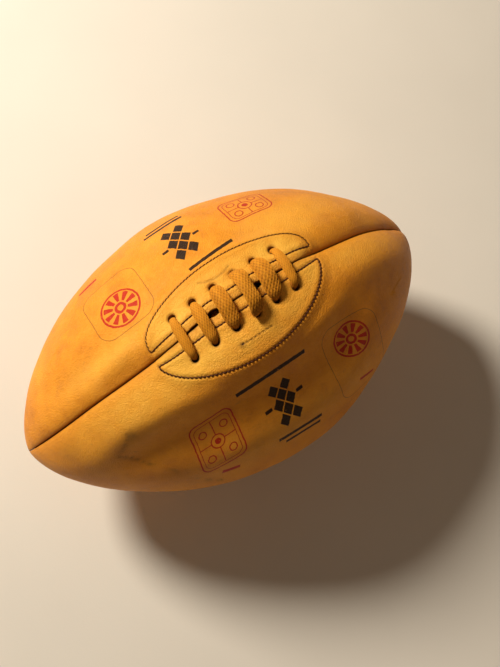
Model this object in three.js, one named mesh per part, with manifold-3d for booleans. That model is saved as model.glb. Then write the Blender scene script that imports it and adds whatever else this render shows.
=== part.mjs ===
// A laced four-panel leather rugby ball: casing, linings, lacing, and the rubber bladder that it holds.
// Millimetres, +Z up. X is the long axis, the lacing is on top and -Y is the front.
// The origin is on the floor, under the middle of the ball.
import * as THREE from "three";
import { mergeVertices } from "three/addons/utils/BufferGeometryUtils.js";
import Module from "manifold-3d";

const wasm = await Module();
wasm.setup();

// ---- Driving dimensions ----
const HALF_LENGTH = 149; // centre to nose
const RADIUS = 92; // at the middle, to the leather's outer face
const NOSE_POWER = 1.84; // the outline is RADIUS * (1 - |x / HALF_LENGTH|^NOSE_POWER)^NOSE_FULLNESS
const NOSE_FULLNESS = 0.63;
const SEAM_TWIST = THREE.MathUtils.degToRad(-9.7); // how far each seam has turned by the +X nose
const REST_FLAT = 1.5; // how much of the leather's curve is pressed flat by the floor

const LEATHER = 2.2; // panel thickness
const GROOVE = 1.6; // depth of the valley along a seam
const SEAM_GAP = 0.2; // half of the gap between two panels
const TURN_IN = 2.6; // how far a sewn edge turns into the ball past the leather's inner face
const EDGE_LIP = 0.6; // least depth of a panel's edge past its inner face
const FULL_WIDTH = 24; // half-width of a panel above which its edges have their full size
const FLAT_START = 10; // distance from a seam at which the valley has ended

const SLIT_HALF_LENGTH = 50;
const SLIT_OPEN = 1.5; // extra half-gap at the middle of the slit
const LACE_CENTRE = 1.5; // x of the middle of the lacing
const LACE_COUNT = 6;
const LACE_PITCH = 14.5;
const HOLE_ROW = 13.5; // distance of each row of holes from the slit
const HOLE_RADIUS = 3.2;
const LACE_HALF_THICKNESS = 1.2;
const LACE_ARCH = [3.4, 3.9, 6.2, 8.0, 6.0, 3.8]; // height of each crossing above the leather
const LACE_HALF_WIDTH = [2.7, 3.0, 3.7, 3.9, 3.7, 2.8];

const LINING_DEPTH = LEATHER + 0.3;
const LINING = 0.7;
const PATCH_DEPTH = 4.7;
const PATCH = 1.5;
const PATCH_MARGIN = 4; // leather outside the stitched outline
const LACE_DEPTH = 8.2; // centre of the lace where it runs inside the ball
const TONGUE_DEPTH = 9.8;
const TONGUE = 1.8;
const TONGUE_REACH = 18; // half-width of the part of the tongue that lies under the lace
const TONGUE_SEWN = 31; // distance of its sewn edge behind the slit

const PATCH_CENTRE = 2.8;
const PATCH_HALF_LENGTH = 57.5;
const PATCH_TIP = 5; // distance of the stitching from the slit at the patch's tips
const STITCH_ROW = 7; // distance of the straight stitching from the slit
const FRONT_PATCH = { side: 1, height: 34.5, fullness: 0.6 };
const BACK_PATCH = { side: -1, height: 29, fullness: 0.4 };

const BLADDER_DEPTH = 4.5;
const BLADDER_WALL = 1.2;
const SEAM_DIP = 5; // how much deeper the bladder lies along a seam
const PIT_DEPTH = 16; // and under the lacing, where the tongue and the neck lie
const NECK_DEPTH = 16; // centre of the filling neck where it lies under the tongue
const NECK_START = -18; // the neck leaves the bladder here and lies towards +X
const NECK_END = 46;
const NECK_HALF_WIDTH = 5;
const NECK_HALF_THICKNESS = 2.3;
const NECK_WALL = 1.1;
const TIE_X = 30;

// ---- The ball's surface ----
const STATIONS = 22; // segments along a panel
const TIP_SHARE = 0.9995; // panels stop this share of the way to the nose, where their points meet
const SEAM_ANGLE = Math.PI / 2; // between one seam and the next

function radiusAt(x) {
  const share = Math.pow(Math.abs(x) / HALF_LENGTH, NOSE_POWER);
  return RADIUS * Math.pow(1 - share, NOSE_FULLNESS);
}

function slopeAt(x) {
  const step = 0.01;
  return (radiusAt(x + step) - radiusAt(x - step)) / (2 * step);
}

// The angle of seam k around the X axis at x. 0 is the top and it grows towards the front.
const seamAngle = (k, x) => k * SEAM_ANGLE + (SEAM_TWIST * x) / HALF_LENGTH;

// The point at x and angle, a depth below the leather's outer face, square to it.
function onBall(x, angle, depth) {
  const slope = slopeAt(x);
  const length = Math.hypot(1, slope);
  const radial = Math.max(radiusAt(x) - depth / length, 0.05);
  const shifted = x + (depth * slope) / length;
  return new THREE.Vector3(shifted, -radial * Math.sin(angle), radial * Math.cos(angle));
}

// The point at x, a distance across the surface from seam k, and a depth below it.
const fromSeam = (k, x, across, depth) => onBall(x, seamAngle(k, x) + across / radiusAt(x), depth);

// Places along X, closer together towards the noses where the outline turns in.
function stationsBetween(low, high, segments) {
  const from = Math.asin(low / HALF_LENGTH);
  const to = Math.asin(high / HALF_LENGTH);
  const list = [];
  for (let i = 0; i <= segments; i++) {
    list.push(HALF_LENGTH * Math.sin(from + ((to - from) * i) / segments));
  }
  return list;
}

const nose = HALF_LENGTH * TIP_SHARE;
const allStations = stationsBetween(-nose, nose, STATIONS);
const smooth = (low, high, value) => THREE.MathUtils.smoothstep(value, low, high);

// ---- Geometry helpers ----
function volumeOf(positions, index) {
  const a = new THREE.Vector3();
  const b = new THREE.Vector3();
  const c = new THREE.Vector3();
  let sum = 0;
  for (let i = 0; i < index.length; i += 3) {
    a.fromArray(positions, index[i] * 3);
    b.fromArray(positions, index[i + 1] * 3);
    c.fromArray(positions, index[i + 2] * 3);
    sum += a.dot(b.cross(c)) / 6;
  }
  return sum;
}

// A geometry from points and triangles, turned so that its faces point out.
function geometryOf(points, index) {
  const positions = points.flatMap((p) => p.toArray());
  if (volumeOf(positions, index) < 0) {
    for (let i = 0; i < index.length; i += 3) {
      [index[i + 1], index[i + 2]] = [index[i + 2], index[i + 1]];
    }
  }
  const geometry = new THREE.BufferGeometry();
  geometry.setAttribute("position", new THREE.Float32BufferAttribute(positions, 3));
  geometry.setIndex(index);
  return geometry;
}

// A closed plate between two grids of points with the same rows and columns.
function plate(outer, inner) {
  const rows = outer.length;
  const columns = outer[0].length;
  const points = [...outer.flat(), ...inner.flat()];
  const top = (i, j) => i * columns + j;
  const bottom = (i, j) => rows * columns + top(i, j);
  const index = [];
  const quad = (a, b, c, d) => index.push(a, b, c, a, c, d);
  for (let i = 0; i < rows - 1; i++) {
    for (let j = 0; j < columns - 1; j++) {
      quad(top(i, j), top(i, j + 1), top(i + 1, j + 1), top(i + 1, j));
      quad(bottom(i, j), bottom(i + 1, j), bottom(i + 1, j + 1), bottom(i, j + 1));
    }
    const last = columns - 1;
    quad(top(i, 0), top(i + 1, 0), bottom(i + 1, 0), bottom(i, 0));
    quad(top(i + 1, last), top(i, last), bottom(i, last), bottom(i + 1, last));
  }
  for (let j = 0; j < columns - 1; j++) {
    const last = rows - 1;
    quad(top(0, j + 1), top(0, j), bottom(0, j), bottom(0, j + 1));
    quad(top(last, j), top(last, j + 1), bottom(last, j + 1), bottom(last, j));
  }
  return geometryOf(points, index);
}

// A cord or strip along path, which lists { at, side, width, thickness }: an oval section each,
// with its width along side. A closed path joins its last section to its first.
function sweep(path, sides, closed = false) {
  const count = path.length;
  const points = [];
  path.forEach((section, i) => {
    const before = path[closed ? (i + count - 1) % count : Math.max(i - 1, 0)];
    const after = path[closed ? (i + 1) % count : Math.min(i + 1, count - 1)];
    const along = after.at.clone().sub(before.at).normalize();
    const up = section.side.clone().cross(along).normalize();
    const side = along.clone().cross(up);
    for (let j = 0; j < sides; j++) {
      const angle = (j / sides) * 2 * Math.PI;
      const point = section.at.clone();
      point.addScaledVector(side, section.width * Math.cos(angle));
      points.push(point.addScaledVector(up, section.thickness * Math.sin(angle)));
    }
  });
  const index = [];
  for (let i = 0; i < (closed ? count : count - 1); i++) {
    const next = (i + 1) % count;
    for (let j = 0; j < sides; j++) {
      const k = (j + 1) % sides;
      index.push(i * sides + j, i * sides + k, next * sides + k);
      index.push(i * sides + j, next * sides + k, next * sides + j);
    }
  }
  if (!closed) {
    for (let j = 1; j < sides - 1; j++) {
      const end = (count - 1) * sides;
      index.push(0, j + 1, j);
      index.push(end, end + j, end + j + 1);
    }
  }
  return geometryOf(points, index);
}

// A body closed at both noses, from rings of points and its two end points.
function balloon(rings, start, end) {
  const sides = rings[0].length;
  const points = [start, ...rings.flat(), end];
  const last = points.length - 1;
  const index = [];
  for (let j = 0; j < sides; j++) {
    const k = (j + 1) % sides;
    index.push(0, 1 + k, 1 + j);
    index.push(last, last - sides + j, last - sides + k);
    for (let i = 0; i < rings.length - 1; i++) {
      const ring = 1 + i * sides;
      const next = ring + sides;
      index.push(ring + j, ring + k, next + k);
      index.push(ring + j, next + k, next + j);
    }
  }
  return geometryOf(points, index);
}

function solidOf(geometry) {
  const bare = geometry.clone();
  bare.deleteAttribute("normal");
  bare.deleteAttribute("uv");
  const merged = mergeVertices(bare, 1e-4);
  return new wasm.Manifold(
    new wasm.Mesh({
      numProp: 3,
      vertProperties: merged.attributes.position.array,
      triVerts: new Uint32Array(merged.index.array),
    }),
  );
}

function geometryFrom(solid) {
  const mesh = solid.getMesh();
  const geometry = new THREE.BufferGeometry();
  geometry.setAttribute("position", new THREE.BufferAttribute(mesh.vertProperties, 3));
  geometry.setIndex(new THREE.BufferAttribute(mesh.triVerts, 1));
  return geometry;
}

// ---- Casing: panels and canvas linings ----
const slitShare = (x) => Math.max(1 - Math.pow((x - LACE_CENTRE) / SLIT_HALF_LENGTH, 2), 0);
const slitGap = (x) => SEAM_GAP + SLIT_OPEN * Math.pow(slitShare(x), 2);
const panelWidth = (x) => radiusAt(x) * SEAM_ANGLE;
const edgeSize = (x) => Math.min(1, panelWidth(x) / 2 / FULL_WIDTH);

// How deep a panel's edge reaches into the ball. It isn't turned in along the slit.
function edgeDepth(x, onLaceSeam) {
  const fromSlit = Math.abs(x - LACE_CENTRE) - SLIT_HALF_LENGTH;
  const sewn = onLaceSeam ? smooth(-4, 4, fromSlit) : 1;
  return LEATHER + EDGE_LIP + (GROOVE + sewn * TURN_IN) * edgeSize(x);
}

// Half of a panel's section at x: its outer and inner corners, as distances from the seam and depths.
function edgeCorners(x, onLaceSeam) {
  const size = edgeSize(x);
  const gap = onLaceSeam ? slitGap(x) : SEAM_GAP;
  const bottom = edgeDepth(x, onLaceSeam);
  const corner = (across, depth) => [gap + across * size, depth];
  return {
    outer: [
      corner(0, bottom),
      corner(0, GROOVE * size),
      corner(1.2, 0.55 * GROOVE * size),
      corner(4.5, 0.12 * GROOVE * size),
    ],
    inner: [
      corner(LEATHER, bottom),
      corner(LEATHER + 0.1, LEATHER + GROOVE * size),
      corner(LEATHER + 0.8, LEATHER + 0.55 * GROOVE * size),
      corner(LEATHER + 2.8, LEATHER + 0.12 * GROOVE * size),
    ],
  };
}

const SPAN_SEGMENTS = 6; // across the plain middle of a panel

function middleOfPanel(x) {
  const width = panelWidth(x);
  const start = FLAT_START * edgeSize(x);
  const list = [];
  for (let j = 0; j <= SPAN_SEGMENTS; j++) {
    list.push(start + ((width - 2 * start) * j) / SPAN_SEGMENTS);
  }
  return list;
}

// One row of points across panel k, on its outer or its inner face.
function panelRow(k, x, face) {
  const width = panelWidth(x);
  const depth = face === "outer" ? 0 : LEATHER;
  const first = edgeCorners(x, k === 0)[face];
  const second = edgeCorners(x, k === 3)[face];
  const corners = [
    ...first,
    ...middleOfPanel(x).map((across) => [across, depth]),
    ...second.map(([across, down]) => [width - across, down]).reverse(),
  ];
  return corners.map(([across, down]) => fromSeam(k, x, across, down));
}

function panelGeometry(k) {
  const outer = allStations.map((x) => panelRow(k, x, "outer"));
  const inner = allStations.map((x) => panelRow(k, x, "inner"));
  return plate(outer, inner);
}

function liningGeometry(k) {
  const stations = allStations.slice(2, -2);
  const rowAt = (depth) => (x) => middleOfPanel(x).map((across) => fromSeam(k, x, across, depth));
  return plate(stations.map(rowAt(LINING_DEPTH)), stations.map(rowAt(LINING_DEPTH + LINING)));
}

// ---- Lacing ----
const holeX = (i) => LACE_CENTRE + (i - (LACE_COUNT - 1) / 2) * LACE_PITCH;

// Cutters for one row of lace holes. side is 1 for the front row and -1 for the back row.
function holeCutters(side) {
  const cutters = [];
  for (let i = 0; i < LACE_COUNT; i++) {
    const geometry = new THREE.CylinderGeometry(HOLE_RADIUS, HOLE_RADIUS, 30, 8);
    const top = fromSeam(0, holeX(i), side * HOLE_ROW, -5);
    const bottom = fromSeam(0, holeX(i), side * HOLE_ROW, 5);
    const out = top.clone().sub(bottom).normalize();
    geometry.applyQuaternion(new THREE.Quaternion().setFromUnitVectors(THREE.Object3D.DEFAULT_UP, out));
    geometry.translate(...bottom.toArray());
    cutters.push(solidOf(geometry));
  }
  return cutters;
}

function withHoles(geometry, side) {
  const pierced = holeCutters(side).reduce((solid, cutter) => solid.subtract(cutter), solidOf(geometry));
  return geometryFrom(pierced);
}

// Out of the back hole, over the slit, into the front hole, then slanting back inside to the next pair.
function laceGeometry() {
  const marks = [];
  const mark = (x, across, height, width) => marks.push({ x, across, height, width });
  const inside = (i, share, across) => mark(holeX(i) + share * LACE_PITCH, across, -LACE_DEPTH, 2.4);
  inside(0, -0.8, 9);
  inside(0, -0.5, 0);
  for (let i = 0; i < LACE_COUNT; i++) {
    const x = holeX(i);
    const arch = LACE_ARCH[i];
    const width = LACE_HALF_WIDTH[i];
    const shoulder = 0.45 * arch + 1.3;
    inside(i, -0.1, -9);
    for (const side of [-1, 1]) {
      const rise = [
        [HOLE_ROW, -6.6, 2.2],
        [HOLE_ROW + 0.2, -2.8, 2.3],
        [HOLE_ROW - 0.9, 0.6, 2.5],
        [HOLE_ROW - 3.6, shoulder, 0.9 * width],
        [HOLE_ROW - 8, 0.75 * arch + 1.1, width],
      ];
      if (side > 0) {
        mark(x, 0, arch + 0.6, width);
        rise.reverse();
      }
      rise.forEach(([across, height, w]) => mark(x, side * across, height, w));
    }
    inside(i, 0.1, 9);
    inside(i, 0.5, 0);
  }
  inside(LACE_COUNT - 1, 0.8, -9);

  const line = new THREE.CatmullRomCurve3(
    marks.map((m) => new THREE.Vector3(m.x, m.across, m.height)),
    false,
    "centripetal",
  );
  const steps = marks.length - 1;
  const path = [];
  for (let i = 0; i <= steps; i++) {
    const share = i / steps;
    const place = line.getPoint(share);
    const before = Math.min(Math.floor(share * (marks.length - 1)), marks.length - 2);
    const between = share * (marks.length - 1) - before;
    path.push({
      at: fromSeam(0, place.x, place.y, -place.z),
      side: fromSeam(0, place.x + 1, place.y, 0).sub(fromSeam(0, place.x - 1, place.y, 0)).normalize(),
      width: THREE.MathUtils.lerp(marks[before].width, marks[before + 1].width, between),
      thickness: LACE_HALF_THICKNESS,
    });
  }
  return sweep(path, 8);
}

// ---- Lace patches, tongue and their stitching ----
const patchShare = (x) => Math.max(1 - Math.pow((x - PATCH_CENTRE) / PATCH_HALF_LENGTH, 2), 0);

// How far the stitched outline of a lace patch lies from the slit at x.
const patchEdge = (patch, x) =>
  PATCH_TIP + (patch.height - PATCH_TIP) * Math.pow(patchShare(x), patch.fullness);

function patchGeometry(patch) {
  const reach = PATCH_HALF_LENGTH + PATCH_MARGIN;
  const stations = stationsBetween(PATCH_CENTRE - reach, PATCH_CENTRE + reach, 14);
  const rowAt = (depth) => (x) => {
    const near = LEATHER + SLIT_OPEN + 1;
    const far = patchEdge(patch, x) + PATCH_MARGIN;
    return [0, 0.25, 0.5, 0.75, 1].map((share) =>
      fromSeam(0, x, patch.side * THREE.MathUtils.lerp(near, far, share), depth),
    );
  };
  const whole = plate(stations.map(rowAt(PATCH_DEPTH)), stations.map(rowAt(PATCH_DEPTH + PATCH)));
  return withHoles(whole, patch.side);
}

// The thread that sews a lace patch: out along the slit and back round the curved edge.
function patchThreadGeometry(patch) {
  const height = 0.85;
  const radius = 0.45;
  const marks = [];
  const around = 22;
  for (let i = 0; i <= around; i++) {
    const x = PATCH_CENTRE - PATCH_HALF_LENGTH * Math.cos((Math.PI * i) / around);
    marks.push([x, patchEdge(patch, x)]);
  }
  const straight = 12;
  for (let i = 1; i < straight; i++) {
    const x = PATCH_CENTRE + PATCH_HALF_LENGTH * (1 - (2 * i) / straight);
    marks.push([x, THREE.MathUtils.lerp(PATCH_TIP - 1, STITCH_ROW, Math.sqrt(patchShare(x)))]);
  }
  const path = marks.map(([x, across]) => {
    const at = fromSeam(0, x, patch.side * across, -height);
    const side = at.clone().sub(fromSeam(0, x, patch.side * across, height));
    return { at, side, width: radius, thickness: radius };
  });
  return sweep(path, 5, true);
}

// The tongue lies flat under the lace and rises behind it to where it is sewn to the back patch.
function tongueDepth(across) {
  const sewnDepth = PATCH_DEPTH + PATCH + 0.4;
  return THREE.MathUtils.lerp(TONGUE_DEPTH, sewnDepth, smooth(TONGUE_REACH, TONGUE_REACH + 6, -across));
}

const tongueHalfLength = (across) => 52 - 5 * Math.pow(across / TONGUE_SEWN, 4);

function tongueGeometry() {
  const columns = [TONGUE_REACH, 10, 0, -10, -TONGUE_REACH, -21, -24, -TONGUE_SEWN];
  const shares = [-1, -0.8, -0.6, -0.4, -0.2, 0, 0.2, 0.4, 0.6, 0.8, 1];
  const rowAt = (below) => (share) =>
    columns.map((across) => {
      const x = PATCH_CENTRE + share * tongueHalfLength(across);
      return fromSeam(0, x, across, tongueDepth(across) + below);
    });
  return plate(shares.map(rowAt(0)), shares.map(rowAt(TONGUE)));
}

// A round cord along one seam or sewn edge.
function cordAlong(stations, acrossAndDepth, radius) {
  const path = stations.map((x) => {
    const [k, across, depth] = acrossAndDepth(x);
    const at = fromSeam(k, x, across, depth);
    const side = fromSeam(k, x, across, depth - 5).sub(at);
    return { at, side, width: radius, thickness: radius };
  });
  return sweep(path, 6);
}

const threadRadius = 0.7;
const seamCord = (k, stations) =>
  cordAlong(stations, (x) => [k, 0, edgeDepth(x, k === 0) + 0.3 + threadRadius], threadRadius);

// ---- Bladder, with its filling neck, tie and plug ----
// The bladder fills the casing, dips along each seam, and has a pit for the tongue and the neck.
function bladderDepth(x, across) {
  const valley = SEAM_DIP * Math.exp(-Math.pow(across.toNearestSeam / 10, 2));
  const alongPit = 1 - smooth(62, 82, Math.abs(x - PATCH_CENTRE));
  const acrossPit = 1 - smooth(8, 48, across.toLaceSeam);
  return BLADDER_DEPTH + Math.max(valley, PIT_DEPTH * alongPit * acrossPit);
}

function bladderBody(extra) {
  const sides = 28;
  const stations = allStations.slice(2, -2);
  const quarter = sides / 4;
  const rings = stations.map((x) => {
    const ring = [];
    for (let j = 0; j < sides; j++) {
      const step = panelWidth(x) / quarter;
      const across = {
        toNearestSeam: Math.min(j % quarter, quarter - (j % quarter)) * step,
        toLaceSeam: Math.min(j, sides - j) * step,
      };
      ring.push(fromSeam(0, x, j * step, bladderDepth(x, across) + extra));
    }
    return ring;
  });
  const end = Math.abs(rings[0][0].x) + 5 - extra / 2;
  return balloon(rings, new THREE.Vector3(-end, 0, 0), new THREE.Vector3(end, 0, 0));
}

function neckTube(halfWidth, halfThickness, from, to) {
  const marks = [
    [NECK_START - 22, NECK_DEPTH + 24],
    [NECK_START - 15, NECK_DEPTH + 11],
    [NECK_START - 6, NECK_DEPTH + 2.5],
    [NECK_START + 4, NECK_DEPTH],
    [to - 24, NECK_DEPTH],
    [to - 12, NECK_DEPTH],
    [to, NECK_DEPTH],
  ];
  const path = marks.slice(from).map(([x, depth]) => ({
    at: fromSeam(0, x, 0, depth),
    side: fromSeam(0, x, 1, depth).sub(fromSeam(0, x, -1, depth)),
    width: halfWidth,
    thickness: halfThickness,
  }));
  return sweep(path, 10);
}

function bladderGeometry() {
  const outer = solidOf(bladderBody(0));
  const inner = solidOf(bladderBody(BLADDER_WALL));
  const neck = solidOf(neckTube(NECK_HALF_WIDTH, NECK_HALF_THICKNESS, 1, NECK_END));
  const bore = solidOf(
    neckTube(NECK_HALF_WIDTH - NECK_WALL, NECK_HALF_THICKNESS - NECK_WALL, 0, NECK_END + 1),
  );
  return geometryFrom(outer.add(neck).subtract(inner).subtract(bore));
}

// A cord wound round the neck, in two turns that are joined side by side.
function neckTieGeometry() {
  const turns = 2;
  const perTurn = 14;
  const cordRadius = 0.55;
  const clearance = 0.35 + cordRadius;
  const middle = fromSeam(0, TIE_X, 0, NECK_DEPTH);
  const across = fromSeam(0, TIE_X, 1, NECK_DEPTH).sub(middle).normalize();
  const along = fromSeam(0, TIE_X + 1, 0, NECK_DEPTH).sub(middle).normalize();
  const up = along.clone().cross(across).normalize();
  const path = [];
  for (let i = 0; i <= turns * perTurn; i++) {
    const angle = (2 * Math.PI * i) / perTurn;
    const at = middle.clone();
    at.addScaledVector(across, (NECK_HALF_WIDTH + clearance) * Math.cos(angle));
    at.addScaledVector(up, (NECK_HALF_THICKNESS + clearance + 0.1) * Math.sin(angle));
    at.addScaledVector(along, (i / perTurn - turns / 2) * (2 * cordRadius + 0.3));
    path.push({ at, side: along, width: cordRadius, thickness: cordRadius });
  }
  return sweep(path, 6);
}

// The plug that closes the neck: a flat stem in the bore and a wider head outside.
function neckPlugGeometry() {
  const gap = 0.3;
  const sections = [
    [NECK_END - 14, NECK_HALF_WIDTH - NECK_WALL - gap, NECK_HALF_THICKNESS - NECK_WALL - gap],
    [NECK_END + gap, NECK_HALF_WIDTH - NECK_WALL - gap, NECK_HALF_THICKNESS - NECK_WALL - gap],
    [NECK_END + gap + 0.05, NECK_HALF_WIDTH, NECK_HALF_THICKNESS],
    [NECK_END + gap + 2.5, NECK_HALF_WIDTH, NECK_HALF_THICKNESS],
  ];
  const path = sections.map(([x, width, thickness]) => ({
    at: fromSeam(0, x, 0, NECK_DEPTH),
    side: fromSeam(0, x, 1, NECK_DEPTH).sub(fromSeam(0, x, -1, NECK_DEPTH)),
    width,
    thickness,
  }));
  return sweep(path, 10);
}

// ---- Materials ----
function material(color, roughness) {
  return new THREE.MeshStandardMaterial({ color, roughness, metalness: 0 });
}

const leather = material(0xd9913c, 0.55);
const innerLeather = material(0x9c6a3a, 0.8);
const canvas = material(0xcfc3a4, 0.95);
const laceCotton = material(0xc07c26, 0.85);
const waxedThread = material(0x3a1f12, 0.6);
const linenThread = material(0xb9a27a, 0.85);
const rubber = material(0x8f4a2c, 0.6);

// ---- Assembly ----
const ball = new THREE.Group();
const casing = new THREE.Group();
const lacing = new THREE.Group();
const inflation = new THREE.Group();
ball.add(casing, lacing, inflation);

function addPart(group, name, geometry, finish) {
  const mesh = new THREE.Mesh(geometry, finish);
  mesh.name = name;
  group.add(mesh);
}

// What the floor presses flat: everything lower than the resting face.
const floorDepth = RADIUS - REST_FLAT;
const floorCutter = solidOf(new THREE.BoxGeometry(200, 200, 20).translate(0, 0, -floorDepth - 10));

const PANELS = ["upper_front", "lower_front", "lower_back", "upper_back"];
PANELS.forEach((place, k) => {
  const whole = panelGeometry(k);
  const isUpper = k === 0 || k === 3;
  const side = k === 0 ? 1 : -1;
  const panel = isUpper ? withHoles(whole, side) : geometryFrom(solidOf(whole).subtract(floorCutter));
  addPart(casing, "panel_" + place, panel, leather);
  const lining = liningGeometry(k);
  addPart(casing, "lining_" + place, isUpper ? withHoles(lining, side) : lining, canvas);
});

const sewn = allStations.slice(2, -2);
const slitStart = LACE_CENTRE - SLIT_HALF_LENGTH;
const slitEnd = LACE_CENTRE + SLIT_HALF_LENGTH;
addPart(casing, "seam_thread_front", seamCord(1, sewn), linenThread);
addPart(casing, "seam_thread_bottom", seamCord(2, sewn), linenThread);
addPart(casing, "seam_thread_back", seamCord(3, sewn), linenThread);
addPart(casing, "seam_thread_top_left", seamCord(0, sewn.filter((x) => x < slitStart)), linenThread);
addPart(casing, "seam_thread_top_right", seamCord(0, sewn.filter((x) => x > slitEnd)), linenThread);

addPart(lacing, "lace_patch_front", patchGeometry(FRONT_PATCH), innerLeather);
addPart(lacing, "lace_patch_back", patchGeometry(BACK_PATCH), innerLeather);
addPart(lacing, "patch_thread_front", patchThreadGeometry(FRONT_PATCH), waxedThread);
addPart(lacing, "patch_thread_back", patchThreadGeometry(BACK_PATCH), waxedThread);
addPart(lacing, "lace", laceGeometry(), laceCotton);
addPart(lacing, "tongue", tongueGeometry(), innerLeather);
const tongueRow = stationsBetween(PATCH_CENTRE - 44, PATCH_CENTRE + 44, 8);
const underTongue = tongueDepth(-TONGUE_SEWN) + TONGUE + 0.4 + threadRadius;
addPart(
  lacing,
  "tongue_thread",
  cordAlong(tongueRow, () => [0, -TONGUE_SEWN + 3, underTongue], threadRadius),
  linenThread,
);

addPart(inflation, "bladder", bladderGeometry(), rubber);
addPart(inflation, "neck_tie", neckTieGeometry(), linenThread);
addPart(inflation, "neck_plug", neckPlugGeometry(), rubber);

ball.position.z = floorDepth;

export default ball;
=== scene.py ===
"""The looks of a laced four-panel leather rugby ball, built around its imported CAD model.

Shapes are worked out in millimetres from the ball's centre, as on the CAD part: X is the long axis,
the lacing is at the top and -Y is the front. They are turned into metres when a mesh is made.
"""

import math
from functools import reduce

import bmesh
import bpy
import numpy as np
from mathutils import Matrix, Vector


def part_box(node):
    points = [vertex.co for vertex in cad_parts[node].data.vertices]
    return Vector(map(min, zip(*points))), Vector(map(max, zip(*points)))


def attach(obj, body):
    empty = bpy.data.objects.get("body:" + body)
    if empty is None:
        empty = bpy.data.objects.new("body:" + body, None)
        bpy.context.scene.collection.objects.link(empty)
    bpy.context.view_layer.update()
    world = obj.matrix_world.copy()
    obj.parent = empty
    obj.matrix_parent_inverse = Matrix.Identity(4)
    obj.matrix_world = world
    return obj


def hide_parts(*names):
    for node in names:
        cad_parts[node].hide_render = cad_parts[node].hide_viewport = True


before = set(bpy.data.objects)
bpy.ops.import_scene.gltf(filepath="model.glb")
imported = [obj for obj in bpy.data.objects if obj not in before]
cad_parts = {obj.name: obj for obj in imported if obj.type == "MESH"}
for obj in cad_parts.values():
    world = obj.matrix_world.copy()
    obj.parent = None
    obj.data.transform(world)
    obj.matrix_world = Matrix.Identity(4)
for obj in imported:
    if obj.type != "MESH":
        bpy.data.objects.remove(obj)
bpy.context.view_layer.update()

MM = 0.001
TURN = 2 * math.pi

# ---- The ball, as the CAD part has it ----
HALF_LENGTH = 149
RADIUS = 92
NOSE_POWER = 1.84
NOSE_FULLNESS = 0.63
SEAM_TWIST = math.radians(-9.7)
TIP_SHARE = 0.9995
LEATHER = 2.2
SEAM_GAP = 0.14
SEAM_EDGE = 7.6  # how deep a sewn edge turns into the ball
SLIT_EDGE = 4.4
FULL_WIDTH = 24  # a panel whose half is narrower than this has smaller edges

SLIT_HALF_LENGTH = 50
LACE_CENTRE = 1.5
LACE_COUNT = 6
LACE_PITCH = 14.5
HOLE_ROW = 13.5
HOLES = LACE_CENTRE + (np.arange(LACE_COUNT) - (LACE_COUNT - 1) / 2) * LACE_PITCH
LACE_DEPTH = 8.2
# The crossings' heights and widths, and the patches' outlines below, are finer than the CAD's plain ones.
LACE_ARCH = (3.0, 4.2, 6.4, 9.5, 6.0, 3.4)
LACE_HALF_WIDTH = (3.0, 3.6, 4.7, 5.0, 5.5, 3.2)
LACE_SLACK = (0.2, 0.3, 0.5, 1.0, 0.5, 0.0)  # from 0, flat on the front leather, to 1, standing clear
LACE_LEAN = (0, 5, -6, 24, -2, -5)  # how far each crossing has rolled, in degrees

PATCH_CENTRE = 2.8
PATCH_HALF_LENGTH = 57.5
PATCH_TIP = 5
PATCH_MARGIN = 4
STITCH_ROW = 7
PATCH_OF = {
    "front": dict(height=35.2, fullness=0.64, lean=0.0015, groove=0.5, pucker=0.14, thread=0.46),
    "back": dict(height=28.3, fullness=0.42, lean=-0.0012, groove=0.3, pucker=0.06, thread=0.30),
}
PATCH_DEPTH = 4.7
PATCH = 1.5
TONGUE_DEPTH = 9.8
TONGUE = 1.8
TONGUE_SEWN = 31
BACKING_GAP = 0.4  # between a patch, the tongue and the tongue's thread

TOP_SEAM = 0
BOTTOM_SEAM = 2
SEAM_CORDS = {"front": 1, "bottom": 2, "back": 3, "top_left": TOP_SEAM, "top_right": TOP_SEAM}

# A seam's thread runs from nose to nose, turning one way as far as the other.
thread_low, thread_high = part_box("seam_thread_front")
CENTRE = Vector((0, 0, ((thread_low + thread_high) / 2).z))


def ends_of(node):
    """Where a CAD node starts and ends along the ball."""
    low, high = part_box(node)
    return low.x / MM, high.x / MM


def radius_at(x):
    share = np.abs(x / HALF_LENGTH) ** NOSE_POWER
    return RADIUS * np.clip(1 - share, 1e-9, 1) ** NOSE_FULLNESS


def slope_at(x):
    step = 0.01
    return (radius_at(x + step) - radius_at(x - step)) / (2 * step)


def panel_width(x):
    return radius_at(x) * math.pi / 2


def edge_size(x):
    """The size of a panel's edges at x, from 0 at a nose's tip to 1 where the panel is wide."""
    return np.minimum(1, panel_width(x) / 2 / FULL_WIDTH)


def on_ball(seam, side, x, across, height):
    """The point at x, a distance across the surface from a seam, and a height above the leather."""
    x, across, height = np.broadcast_arrays(*(np.asarray(v, float) for v in (x, across, height)))
    angle = seam * math.pi / 2 + SEAM_TWIST * x / HALF_LENGTH + side * across / radius_at(x)
    slope = slope_at(x)
    length = np.hypot(1, slope)
    radial = np.maximum(radius_at(x) + height / length, 0.03)
    return np.stack((x - height * slope / length, -radial * np.sin(angle), radial * np.cos(angle)), -1)


def on_panel(panel, x, across, height):
    return on_ball(panel["seam"], panel["side"], x, across, height)


def smooth(low, high, value):
    share = np.clip((value - low) / (high - low), 0, 1)
    return share * share * (3 - 2 * share)


def bell(value, width):
    return np.exp(-((value / width) ** 2))


def length_along(points):
    steps = np.linalg.norm(np.diff(points, axis=0), axis=1)
    return np.concatenate(([0], np.cumsum(steps)))


def read_at(wanted, along, rows):
    """Rows of numbers, read off at other places along their line."""
    return np.stack([np.interp(wanted, along, column) for column in rows.T], -1)


def resampled(points, spacing):
    """The same open line with its points evenly spaced."""
    along = length_along(points)
    count = max(int(round(along[-1] / spacing)), 2)
    return read_at(np.linspace(0, along[-1], count + 1), along, points)


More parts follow.
